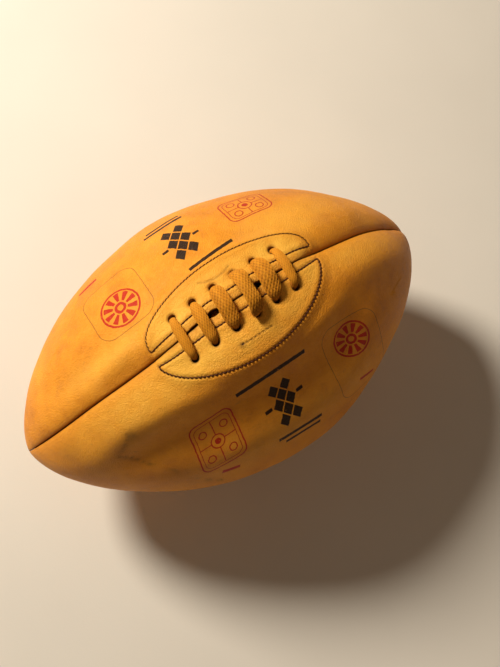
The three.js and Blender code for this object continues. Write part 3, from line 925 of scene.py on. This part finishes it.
# ---- Panels ----
CELL = LACE_PITCH / 24  # grid spacing round the lacing, so that grid lines cross at each hole
HOLE_REACH = 4 * CELL  # half a hole's width
NEAR = 48  # columns keep their true distance from a seam this far, where the panel is wide enough
EDGE_COLUMNS = [0, 0.12, 0.28, 0.5, 0.8, 1.2, 1.7, 2.3, 3.0, 3.8]
OPEN_COLUMNS = [5, 6.5, 8.5, 11, 14, 17.5, 21.5, 26, 31, 36.5, 42, NEAR]
SKIRT = [1.0, 0.7, 0.35]  # places down a turned-in edge, as shares of its depth
# Painted shade on the leather's inner face, inside the ball.
INNER_SHADE = 0.55


def grid_places(pierced):
    """The grid's places along the ball, and its distances from the first seam."""
    x = HALF_LENGTH * np.sin(np.linspace(-1, 1, 151) * math.asin(TIP_SHARE))
    near = np.array(EDGE_COLUMNS + OPEN_COLUMNS)
    if pierced:
        fine = LACE_CENTRE + CELL * np.arange(-108, 111)
        x = np.concatenate((x[x < fine[0] - 1], fine, x[x > fine[-1] + 1]))
        rows = HOLE_ROW + CELL * np.arange(-15, 50)
        near = np.concatenate((EDGE_COLUMNS, rows, [44, 46, NEAR]))
    return x, near


def every_cell(x):
    return np.ones((x.shape[0] - 1, x.shape[1] - 1), bool)


def clear_of_holes(x, across, reach, distance):
    """The cells of a grid that lie further than reach from each lace hole."""
    cell_x = (x[:-1, :-1] + x[1:, :-1]) / 2
    cell_across = (across[:-1, :-1] + across[:-1, 1:]) / 2
    kept = every_cell(x)
    for hole in HOLES:
        kept &= distance(np.abs(cell_x - hole), np.abs(cell_across - HOLE_ROW)) > reach
    return kept


def round_the_holes(x, across):
    """A grid bent so that the square of cells at each lace hole is round, and the cells to keep."""
    kept = clear_of_holes(x, across, HOLE_REACH, np.maximum)
    for hole in HOLES:
        dx, da = x - hole, across - HOLE_ROW
        square = np.maximum(np.abs(dx), np.abs(da))
        away = np.maximum(np.hypot(dx, da), 1e-9)
        pull = 1 + (square / away - 1) * smooth(2.4 * HOLE_REACH, HOLE_REACH, square)
        x, across = hole + dx * pull, HOLE_ROW + da * pull
    return x, across, kept


def panel_piece(name, panel):
    places, near = grid_places(panel["patch"])
    far = np.array(EDGE_COLUMNS + OPEN_COLUMNS)[::-1]
    middle = np.linspace(0, 1, 14)[1:-1]
    width = panel_width(places)[:, None]
    scale = np.minimum(1, width / (2 * NEAR))
    first = near * scale
    last = width - far * scale
    between = first[:, -1:] + middle * (last[:, :1] - first[:, -1:])
    across = np.concatenate((first, between, last), 1)
    x = np.broadcast_to(places[:, None], across.shape)
    kept = every_cell(x)
    if panel["patch"]:
        x, across, kept = round_the_holes(x, across)
    height, broad, soil_and_shade = panel_surface(panel, x, across)

    size = edge_size(x)
    far_off = panel_width(x) - across
    moved = strayed(panel, x, across)
    turned = LEATHER * (np.exp(-across / 2.2 / size) - np.exp(-far_off / 2.2 / size)) * size
    lower = np.minimum(height, broad - 0.4 * size) - LEATHER * (0.3 + 0.7 * size)
    lower = np.maximum(lower, broad - (0.8 + LEATHER) * 1.2 * size)

    def skirt(column, depth):
        """Both faces of the stretch of an edge that is turned down into the ball."""
        start, inner_start = height[:, column], lower[:, column]
        end = np.minimum(-depth * size[:, column], start - 0.4)
        shares = np.array(SKIRT)[:, None]
        down = start + shares * (end - start)
        inner_down = inner_start + shares * (np.minimum(end, inner_start - 0.2) - inner_start)
        return (
            on_panel(panel, x[:, column], moved[:, column], down),
            on_panel(panel, x[:, column], (moved + turned)[:, column], inner_down),
        )

    faces = on_panel(panel, x, moved, height), on_panel(panel, x, moved + turned, lower)
    skirts = skirt(0, np.where(open_at(panel, places), SLIT_EDGE, SEAM_EDGE)), skirt(-1, SEAM_EDGE)
    outer, inner = (
        np.concatenate((start, face.swapaxes(0, 1), end[::-1])).swapaxes(0, 1)
        for start, face, end in zip(skirts[0], faces, skirts[1])
    )
    sides = ((0, 0), (len(SKIRT), len(SKIRT)))
    # The turned-down edges are coloured fully dark: painted shade down in the seam gap.
    soil_and_shade = np.pad(soil_and_shade, sides, constant_values=1.0)
    light_and_highlight = np.pad(lightening_and_highlights(panel, x, across), sides)
    points, faces = plate(outer, inner, np.pad(kept, sides, constant_values=True))
    return new_piece(
        name,
        points,
        faces,
        panel["material"],
        uv=flat_uv(np.pad(x, sides, mode="edge"), np.pad(across, sides, mode="edge")),
        floats={
            "soil_and_shade": np.concatenate((soil_and_shade.ravel(), np.full(soil_and_shade.size, INNER_SHADE))),
            "light_and_highlight": np.concatenate((light_and_highlight.ravel(), np.zeros(light_and_highlight.size))),
        },
    )


for place, panel in PANELS.items():
    settle(panel_piece("panel_" + place + "_leather", panel), "panel_" + place)


# ---- Stitching round the lace patches ----
def stitches(name, panel):
    """One short, slanted thread for each stitch, diving into the leather at both ends."""
    patch = panel["patch"]
    sides = 8
    outline = patch_outline(patch, STITCH)
    ahead = np.roll(outline, -1, axis=0) - outline
    shares = np.linspace(-0.43, 0.43, 7)
    middle = outline + ahead / 2
    straight = (middle[:, 1] < straight_row(middle[:, 0]) + 0.3)[:, None]
    beside = np.stack((-ahead[:, 1], ahead[:, 0]), -1) * np.where(straight, 0.1, 0.26)
    stretch = np.where(straight, 1.12, 1.0)
    places = middle[:, None] + (ahead * stretch + beside)[:, None] * shares[:, None]
    x, across = places[..., 0], places[..., 1]
    surface = panel_surface(panel, x, across)[0]
    bow = np.cos(math.pi * shares)
    thread = np.where(straight, 0.42, patch["thread"])
    height = surface + thread * (1.1 * bow**0.6 - 0.3)
    moved = strayed(panel, x, across)
    centre = on_panel(panel, x, moved, height)
    above = on_panel(panel, x, moved, height + 1)
    girth = thread * (0.55 + 0.45 * bow**0.5)
    points, faces = tubes(centre, above - centre, girth, girth, sides)
    # Painted shade: each stitch is coloured darker towards its ends, where it dives into the leather.
    lift = np.broadcast_to((bow * 0.8)[None, :, None], (*x.shape, sides)).ravel()
    return new_piece(name, points, faces, dark_thread, floats={"lift": lift})


for place in PATCH_OF:
    sewing = stitches("patch_stitches_" + place, PANELS["upper_" + place])
    settle(sewing, "patch_thread_" + place)

# ---- Lace ----
BRAID_STRANDS = 20
BRAID_TURN = 60  # length of one strand's full turn round the lace
BRAID_STEP = 0.75
BRAID_OVAL = 3.6  # half width at which the strands are spaced evenly
YARN_RADIUS = 0.28
YARN_SIDES = 5
LACE_THICKNESS = 1.3  # half of it


def rise(arch, width, overhang, slack=1.0):
    """A crossing's way up out of its hole: distance across, height and half width."""
    loose = min(max((arch - 4) / 5, 0), 1) * slack
    out = loose * overhang
    shoulder, high = 0.45 * arch + 1.3, (0.78 + 0.08 * loose) * arch + 1.1
    shoulder, high = 2.4 + (shoulder - 2.4) * slack, 3.1 + (high - 3.1) * (0.3 + 0.7 * slack)
    return [
        (HOLE_ROW - 0.5, -6.6, 1.7),
        (HOLE_ROW - 0.5, -2.8, 1.8),
        (HOLE_ROW - 1.3 + 1.3 * out, 0.4 + 0.3 * slack + loose, 2.0 + 0.7 * out),
        (HOLE_ROW - 3.6 + 2.6 * out, shoulder, (0.78 + 0.2 * out) * width),
        (HOLE_ROW - 8 + 2 * loose, high, width),
    ]


def lace_marks():
    """Places along the lace: x, distance across, height, half width and lean."""
    marks = []

    def inside(i, share, across):
        marks.append((HOLES[i] + share * LACE_PITCH, across, -LACE_DEPTH, 2.3, 0))

    def outside(x, side, half, lean):
        marks.extend((x, side * across, height, wide, lean) for across, height, wide in half)

    inside(0, -0.8, 9)
    inside(0, -0.5, 0)
    crossings = zip(HOLES, LACE_ARCH, LACE_HALF_WIDTH, LACE_LEAN, LACE_SLACK)
    for i, (x, arch, width, lean, slack) in enumerate(crossings):
        inside(i, -0.1, -9)
        outside(x, -1, rise(arch, width, 0.6), lean * 0.3)
        marks.append((x, 0, arch + 0.6, width, lean))
        outside(x, 1, rise(arch, width, 1, slack)[::-1], lean * 0.6)
        inside(i, 0.1, 9)
        inside(i, 0.5, 0)
    inside(LACE_COUNT - 1, 0.8, -9)
    return np.array(marks, float)


def curve_through(marks, steps):
    """A Catmull-Rom curve through rows of numbers, with steps points between each pair."""
    ends = np.concatenate((2 * marks[:1] - marks[1:2], marks, 2 * marks[-1:] - marks[-2:-1]))
    slope = (ends[2:] - ends[:-2]) / 2
    t = (np.arange(steps) / steps)[:, None]
    shares = (2 * t**3 - 3 * t**2 + 1, t**3 - 2 * t**2 + t, 3 * t**2 - 2 * t**3, t**3 - t**2)
    pairs = zip(marks, slope, marks[1:], slope[1:])
    rows = [sum(share * value for share, value in zip(shares, pair)) for pair in pairs]
    return np.concatenate(rows + [marks[-1:]])


def oval_angle(share, width, thickness):
    """The angle on an oval at a share of the way round it."""
    angle = np.linspace(0, TURN, 721)
    step = np.hypot(width * np.sin(angle), thickness * np.cos(angle))
    along = np.concatenate(([0], np.cumsum((step[1:] + step[:-1]) / 2)))
    return np.interp(np.mod(share, 1) * along[-1], along, angle)


def lace_piece(name):
    """A flat tubular braid: strands go over two and under two, in columns along the lace."""
    x, across, height, width, lean = curve_through(lace_marks(), 12).T
    centre = on_ball(TOP_SEAM, 1, x, across, height)
    ahead = on_ball(TOP_SEAM, 1, x + 1, across, height)
    line = np.concatenate((centre, ahead - centre, width[:, None], lean[:, None], across[:, None]), 1)
    along = length_along(centre)
    wanted = np.linspace(0, along[-1], int(along[-1] / BRAID_STEP))
    line = read_at(wanted, along, line)
    centre, side, (width, lean, across) = line[:, :3], line[:, 3:6], line[:, 6:].T
    side, up = frames_along(centre, side)
    c, s = np.cos(np.radians(lean))[:, None], np.sin(np.radians(lean))[:, None]
    side, up = side * c + up * s, up * c - side * s

    # Painted shade: the lace is coloured darker where it goes down into its holes.
    unshaded_share = 1 - 0.6 * smooth(7, 14, across) - 0.4 * smooth(8, 14, -across)
    lines, lifts = [], []
    for direction in (1, -1):
        for strand in range(BRAID_STRANDS):
            middle = strand / BRAID_STRANDS + direction * wanted / BRAID_TURN
            over = direction * np.cos(math.pi * BRAID_STRANDS * middle + math.pi / 4)
            for yarn in (-0.24, 0.24):
                angle = oval_angle(middle + yarn / BRAID_STRANDS, BRAID_OVAL, LACE_THICKNESS)[:, None]
                wide = (width - YARN_RADIUS + 0.2 * over)[:, None]
                thick = (LACE_THICKNESS - YARN_RADIUS + 0.2 * over)[:, None]
                lines.append(centre + side * wide * np.cos(angle) + up * thick * np.sin(angle))
                # Painted shade: strands that dip under their neighbours are coloured darker.
                lifts.append((0.5 + 0.5 * over) * unshaded_share)
    lines = np.array(lines)
    across_yarn = np.cross(lines - centre, np.gradient(lines, axis=1))
    points, faces = tubes(lines, across_yarn, YARN_RADIUS, YARN_RADIUS * 0.85, YARN_SIDES)
    core = width - 0.75, LACE_THICKNESS - 0.6
    core_points, core_faces = tubes(centre[None], side[None], *core, 14)
    faces += [group + len(points) for group in core_faces]
    lift = np.repeat(np.array(lifts).ravel(), YARN_SIDES)
    # The core between the strands gets the darkest colour: painted shade.
    lift = np.concatenate((lift, np.zeros(len(core_points))))
    points = np.concatenate((points, core_points))
    return new_piece(name, points, faces, lace_cotton, floats={"lift": lift}, sharp=80)


settle(lace_piece("lace_braid"), "lace")


# ---- Everything behind the leather ----
def backing(name, panel, x, across, depth, thickness, material, kept, wrinkle=0.0):
    """A thin plate under the leather, from grids of x, distance across and depth."""
    random = np.random.default_rng(5)
    ripple = np.zeros(x.shape)
    for wavelength in (7, 11, 17, 26):
        turn, phase = random.uniform(0, TURN, 2)
        step = (x * math.cos(turn) + across * math.sin(turn)) * TURN / wavelength
        ripple += wrinkle / 4 * np.sin(step + phase)
    outer = on_panel(panel, x, across, ripple - depth)
    inner = on_panel(panel, x, across, ripple - depth - thickness)
    return new_piece(name, *plate(outer, inner, kept), material, uv=flat_uv(x, across))


def patch_piece(name, panel):
    places = LACE_CENTRE + CELL * np.arange(-99, 104)
    places = places[np.abs(places - PATCH_CENTRE) < PATCH_HALF_LENGTH + PATCH_MARGIN - 0.2]
    far = patch_edge(panel["patch"], places)[:, None] + PATCH_MARGIN
    near = 4.8
    columns = np.linspace(near, HOLE_ROW - HOLE_REACH, 9)
    columns = np.concatenate((columns, HOLE_ROW + CELL * np.arange(-3, 5)))
    rest = np.linspace(0, 1, 14)[1:]
    narrow = np.minimum(1, (far - near) / (columns[-1] + 1.5 - near))
    first = near + (columns - near) * narrow
    across = np.concatenate((first, first[:, -1:] + (far - first[:, -1:]) * rest), 1)
    x, across, kept = round_the_holes(np.broadcast_to(places[:, None], across.shape), across)
    return backing(name, panel, x, across, PATCH_DEPTH, PATCH, patch_leather, kept)


for place in PATCH_OF:
    patch = patch_piece("patch_" + place, PANELS["upper_" + place])
    settle(patch, "lace_patch_" + place)


def tongue_piece(name):
    """Flat under the lace, and rising behind it to where it is sewn to the back patch."""
    flat = 18
    columns = np.linspace(-TONGUE_SEWN, -flat, 14), np.linspace(-flat, flat, 37)[1:]
    across = np.concatenate(columns)
    half = 52 - 5 * (across / TONGUE_SEWN) ** 4
    x = PATCH_CENTRE + np.linspace(-1, 1, 90)[:, None] * half
    across = np.broadcast_to(across, x.shape)
    sewn_depth = PATCH_DEPTH + PATCH + BACKING_GAP
    depth = TONGUE_DEPTH + (sewn_depth - TONGUE_DEPTH) * smooth(flat, 24, -across) + 0.15
    panel = PANELS["upper_front"]
    return backing(name, panel, x, across, depth, TONGUE, tongue_leather, every_cell(x), 0.3)


settle(tongue_piece("tongue_leather"), "tongue")

CORD_RADIUS = 0.7
CORD_STRANDS = 3
CORD_STEP = 0.8
CORD_SIDES = 6
SEAM_INSET = 10  # between a seam and a lining's edge
LINING_GAP = 0.35
CLOTH = 0.6
CLOTH_HOLE = 3.4  # the radius of the lining's hole at a lace hole


def seam_cord(name, seam, ends, depth, across=0.0):
    """A cord of three twisted strands along a seam, between two ends and at a depth."""
    x = np.linspace(*ends, 120)
    centre = on_ball(seam, 1, x, across, -depth(x))
    side = on_ball(seam, 1, x, across, 5 - depth(x)) - centre
    along = length_along(centre)
    wanted = np.linspace(0, along[-1], max(int(along[-1] / CORD_STEP), 12))
    centre, side = read_at(wanted, along, centre), read_at(wanted, along, side)
    side, up = frames_along(centre, side)
    lines = []
    for strand in range(CORD_STRANDS):
        angle = (TURN * (wanted / (CORD_RADIUS * 9) + strand / CORD_STRANDS))[:, None]
        lines.append(centre + (side * np.cos(angle) + up * np.sin(angle)) * CORD_RADIUS * 0.5)
    lines = np.array(lines)
    girth = CORD_RADIUS * 0.55
    points, faces = tubes(lines, np.broadcast_to(side, lines.shape), girth, girth, CORD_SIDES)
    lift = np.full(len(points), 0.6)
    return new_piece(name, points, faces, linen_thread, floats={"lift": lift}, sharp=80)


def seam_thread_depth(x):
    """Where the CAD thread lies: just inside the turned-in edges, which are smaller near a nose."""
    return LEATHER + 0.6 + (1.6 + 2.6) * edge_size(x) + 1.0


def tongue_thread_depth(x):
    return PATCH_DEPTH + PATCH + BACKING_GAP + TONGUE + BACKING_GAP + CORD_RADIUS


for place, seam in SEAM_CORDS.items():
    ends = [end * 0.995 for end in ends_of("seam_thread_" + place)]
    cord = seam_cord("seam_cord_" + place, seam, ends, seam_thread_depth)
    settle(cord, "seam_thread_" + place)
cord = seam_cord("tongue_cord", TOP_SEAM, ends_of("tongue_thread"), tongue_thread_depth, 3 - TONGUE_SEWN)
settle(cord, "tongue_thread")


def cell_areas(points):
    """The area of each cell of a grid, from its diagonals."""
    first, second = points[1:, 1:] - points[:-1, :-1], points[1:, :-1] - points[:-1, 1:]
    return np.linalg.norm(np.cross(first, second), axis=-1) / 2


def lining_piece(node, panel):
    """A lining, with its cut's width and length and its area, in metres."""
    places = np.linspace(*ends_of(node), 90)[:, None]
    inset = SEAM_INSET * edge_size(places)
    across = inset + (panel_width(places) - 2 * inset) * np.linspace(0, 1, 40)
    x = np.broadcast_to(places, across.shape)
    kept = clear_of_holes(x, across, CLOTH_HOLE, np.hypot) if panel["patch"] else every_cell(x)
    depth = LEATHER + LINING_GAP - np.minimum(broad_relief(panel, x, across), -0.4)
    piece = backing(node + "_cloth", panel, x, across, depth, CLOTH, lining_canvas, kept)
    grid = on_panel(panel, x, across, -depth) * MM
    cut_width = np.linalg.norm(np.diff(grid, axis=1), axis=-1).sum(axis=1).max()
    cut_length = np.linalg.norm(np.diff(grid[:, 20], axis=0), axis=-1).sum()
    return piece, (cut_width, cut_length), cell_areas(grid)[kept].sum()


for place, panel in PANELS.items():
    lining, cut, cut_area = lining_piece("lining_" + place, panel)
    settle(lining, "lining_" + place)
    "panel_" + place + "_leather"


def smoothed(node, name, material, levels):
    """A CAD node's shape with its facets smoothed away."""
    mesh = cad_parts[node].data.copy()
    mesh.materials.clear()
    mesh.materials.append(material)
    piece = placed(name, mesh)
    weld = piece.modifiers.new("weld", "WELD")
    weld.merge_threshold = 1e-5
    rounding = piece.modifiers.new("rounding", "SUBSURF")
    rounding.levels = levels
    rounding.render_levels = levels
    depsgraph = bpy.context.evaluated_depsgraph_get()
    finished = bpy.data.meshes.new_from_object(piece.evaluated_get(depsgraph))
    piece.modifiers.clear()
    piece.data = finished
    finished.shade_smooth()
    return piece


def push_in(piece):
    """Moves a piece's points inwards wherever the leather over them is dented."""
    mesh = piece.data
    points = np.zeros(len(mesh.vertices) * 3)
    mesh.vertices.foreach_get("co", points)
    points = points.reshape(-1, 3)
    x, y, z = (points / MM - np.array(CENTRE) / MM).T  # from the ball's centre
    turned = np.mod(np.arctan2(-y, z) - SEAM_TWIST * x / HALF_LENGTH, TURN)
    quarter = np.floor(turned / (math.pi / 2)).astype(int) % 4
    for i, place in enumerate(("upper_front", "lower_front", "lower_back", "upper_back")):
        here = quarter == i
        first_seam = (i + 1) // 2 * 2 * math.pi / 2
        across = np.abs(turned[here] - first_seam) * radius_at(x[here])
        dent = np.minimum(broad_relief(PANELS[place], x[here], across), 0)
        away = np.maximum(np.hypot(y[here], z[here]), 1)
        points[here, 1] += y[here] / away * dent * MM
        points[here, 2] += z[here] / away * dent * MM
    mesh.vertices.foreach_set("co", points.ravel())
    mesh.update()


bladder = smoothed("bladder", "bladder_rubber", bladder_rubber, 2)
push_in(bladder)
settle(bladder, "bladder")
settle(smoothed("neck_plug", "neck_plug_rubber", plug_rubber, 2), "neck_plug")
settle(smoothed("neck_tie", "neck_tie_cord", linen_thread, 1), "neck_tie")

# ---- Floor, camera and light ----
FLOOR_REACH = 6.0
FLOOR_GAP = 0.05 * MM  # keeps the floor off the leather's flat, so that the two don't coincide
floor_mesh = bpy.data.meshes.new("floor")
square = (-1, -1), (1, -1), (1, 1), (-1, 1)
corners = [(x * FLOOR_REACH, y * FLOOR_REACH, -FLOOR_GAP) for x, y in square]
floor_mesh.from_pydata(corners, [], [(0, 1, 2, 3)])
floor_mesh.materials.append(floor_look("floor"))
floor = placed("floor", floor_mesh)

# The ball as the camera sees it: turned about its own X, Y and Z, and this far right, up and away.
BALL_TURN = [math.radians(a) for a in (-9.5, 10.7, 30.1)]
BALL_PLACE = Vector((-16.8, -3.3, -548.5)) * MM
turn = Matrix.Rotation(BALL_TURN[2], 3, "Z") @ Matrix.Rotation(BALL_TURN[1], 3, "Y")
turn = turn @ Matrix.Rotation(BALL_TURN[0], 3, "X")
view = turn.transposed()

camera_data = bpy.data.cameras.new("camera")
camera_data.lens = 43.2
camera_data.clip_start = 0.01
camera = placed("camera", camera_data)
camera.matrix_world = Matrix.Translation(CENTRE - view @ BALL_PLACE) @ view.to_4x4()
bpy.context.scene.camera = camera


def soft_light(name, right, up, near, size, power, colour):
    """An area light aimed at the ball, placed as the camera sees it."""
    data = bpy.data.lights.new(name, "AREA")
    data.shape = "DISK"
    data.size = size
    data.energy = power
    data.color = colour
    offset = view @ Vector((right, up, near))
    aim = offset.to_track_quat("Z", "Y").to_matrix().to_4x4()
    placed(name, data).matrix_world = Matrix.Translation(CENTRE + offset) @ aim


soft_light("key", -0.72, 0.80, 0.80, 0.35, 24, (1.0, 0.88, 0.70))
soft_light("fill", 0.9, -0.3, 1.0, 1.2, 0.9, (1.0, 0.74, 0.50))

world = bpy.data.worlds.new("studio")
world.use_nodes = True
background = world.node_tree.nodes["Background"]
background.inputs["Color"].default_value = (1.0, 0.72, 0.48, 1)
background.inputs["Strength"].default_value = 0.10
bpy.context.scene.world = world
bpy.context.scene.view_settings.view_transform = "Standard"
